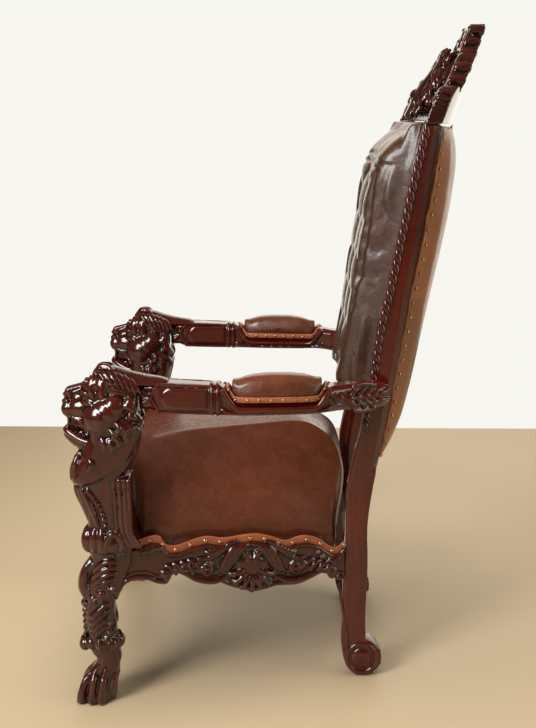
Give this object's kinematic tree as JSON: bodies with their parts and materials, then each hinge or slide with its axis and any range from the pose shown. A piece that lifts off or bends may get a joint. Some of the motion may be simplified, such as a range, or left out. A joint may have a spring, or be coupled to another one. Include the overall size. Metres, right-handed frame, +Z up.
{
  "type": "throne armchair",
  "caption": "Carved mahogany throne armchair with lion-head arm fronts, paw feet, shell-carved rails, a tufted leather back, a thick padded seat and a scrolled crest.",
  "frame": {"origin": "on the floor, under the middle of the whole chair", "axes": "+Z up; the sitter faces -Y, and the sitter's left hand is toward +X"},
  "size_m": [0.8126, 0.8924, 1.4315],
  "materials": {
    "mahogany": "dark red-brown mahogany under a glossy clear lacquer",
    "leather": "dark brown leather with a soft sheen"
  },
  "bodies": {
    "root": {"front_post_left": "mahogany", "front_post_right": "mahogany", "side_rail_left": "mahogany", "side_rail_right": "mahogany", "front_rail": "mahogany", "rear_rail": "mahogany", "rear_post_left": "mahogany", "rear_post_right": "mahogany", "back_lower_rail": "mahogany", "crest": "mahogany", "arm_left": "mahogany", "arm_right": "mahogany", "arm_pad_left": "leather", "arm_pad_right": "leather", "seat_cushion": "leather", "back_cushion": "leather", "back_panel": "leather"}
  },
  "joints": []
}
